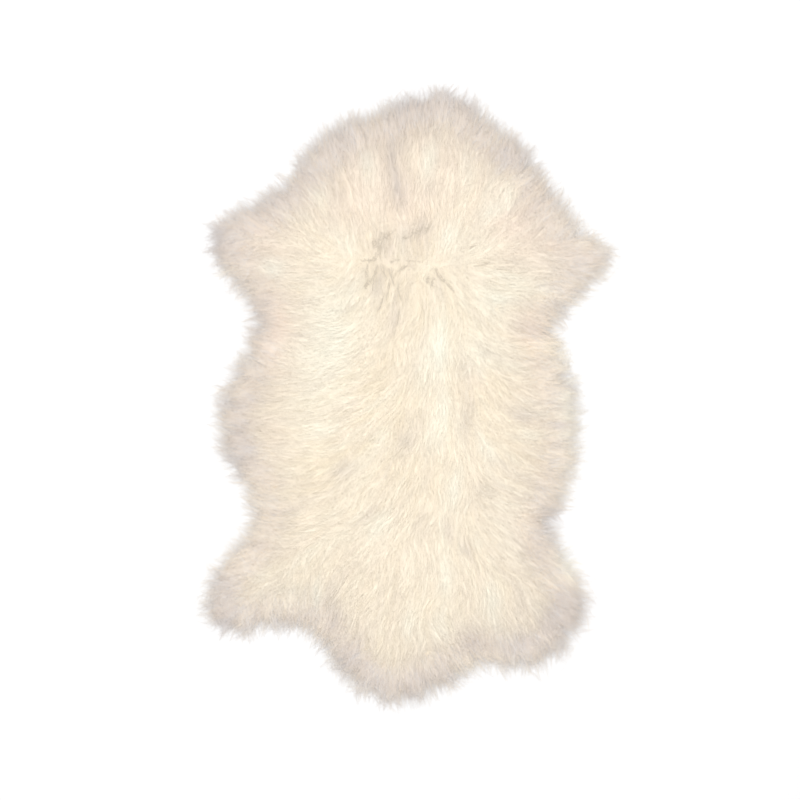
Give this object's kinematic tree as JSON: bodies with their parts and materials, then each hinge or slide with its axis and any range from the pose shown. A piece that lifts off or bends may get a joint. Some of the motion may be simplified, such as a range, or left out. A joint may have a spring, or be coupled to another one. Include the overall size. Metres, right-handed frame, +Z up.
{
  "type": "sheepskin rug",
  "caption": "Natural sheepskin rug: a tanned hide in the shape of the animal's pelt, lying flat, with long cream wool that hangs past its edge in locks.",
  "frame": {"origin": "on the floor, below the middle of the rug's outline", "axes": "+Y from the tail to the neck, +X to the right with the wool up and the neck away, +Z up out of the wool"},
  "size_m": [0.6213, 0.9332, 0.0522],
  "materials": {
    "hide": "tanned skin, suede side out, undyed, matt",
    "wool": "long natural wool, undyed cream, soft and matt"
  },
  "bodies": {
    "root": {"hide": "hide", "fleece": "wool"}
  },
  "joints": []
}
